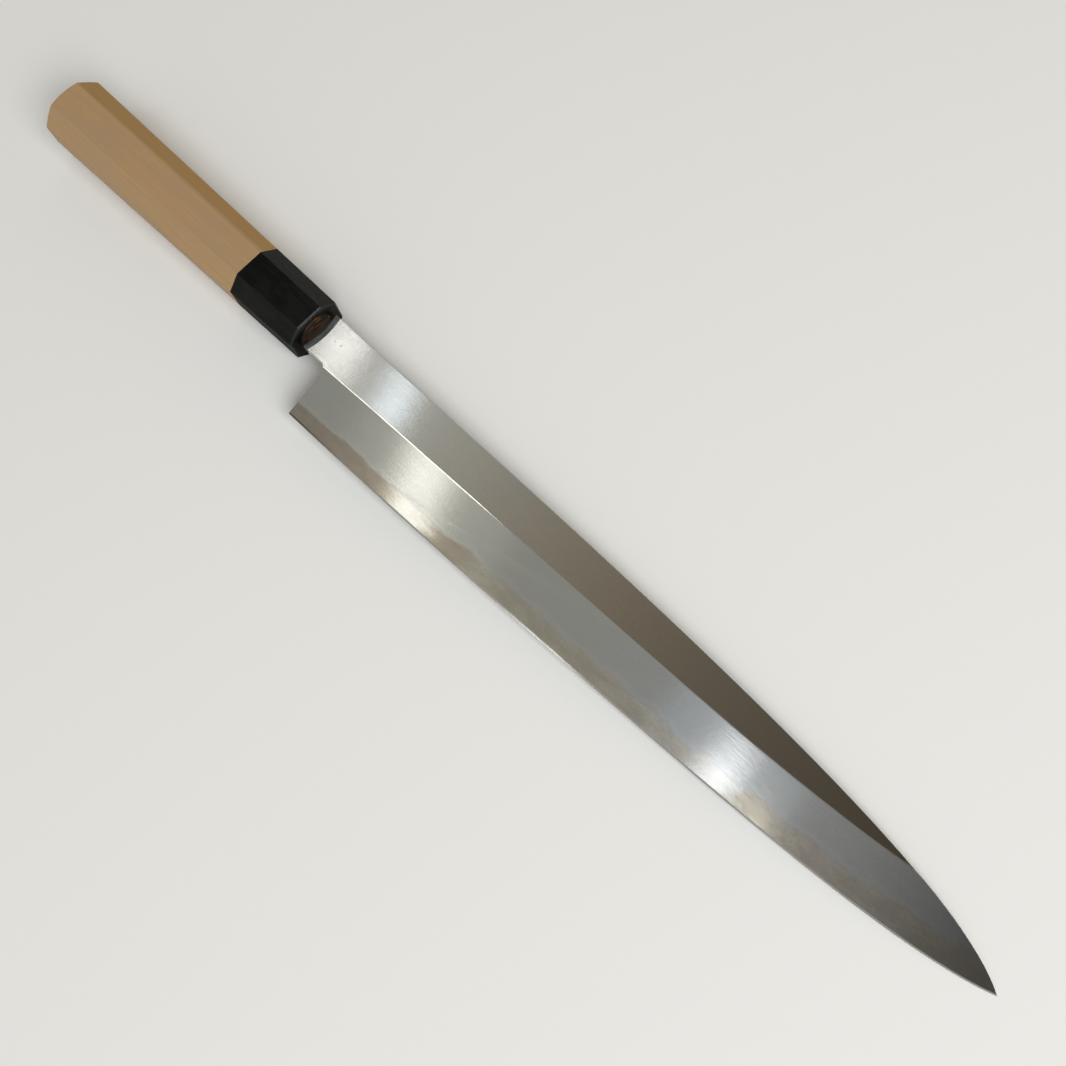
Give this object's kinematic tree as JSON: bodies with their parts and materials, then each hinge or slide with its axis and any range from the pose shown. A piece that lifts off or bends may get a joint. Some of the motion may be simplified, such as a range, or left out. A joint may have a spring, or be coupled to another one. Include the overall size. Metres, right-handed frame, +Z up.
{
  "type": "yanagiba knife",
  "caption": "Long single-bevel slicing knife with a laminated, hollow-backed blade, a black horn ferrule and a pale octagonal wooden handle, lying on its side.",
  "frame": {"origin": "centre of the bounding box, on the surface that the knife lies on", "axes": "+X along the knife towards the tip, +Y towards the spine, +Z up out of the bevel face; the knife lies as it does on a table, on the ferrule's lower front edge and the tip, so its own axis leans down towards the tip by 1.46 degrees"},
  "size_m": [0.4513, 0.0412, 0.0242],
  "materials": {
    "soft_iron": "fine satin, polished along the blade and dark where the neck is bare",
    "hard_steel": "fine satin",
    "horn": "satin buffalo horn",
    "wood": "bare, smooth sanded"
  },
  "bodies": {
    "root": {"soft_iron_body": "soft_iron", "hard_steel_edge": "hard_steel", "horn_ferrule": "horn", "wood_handle": "wood"}
  },
  "joints": []
}
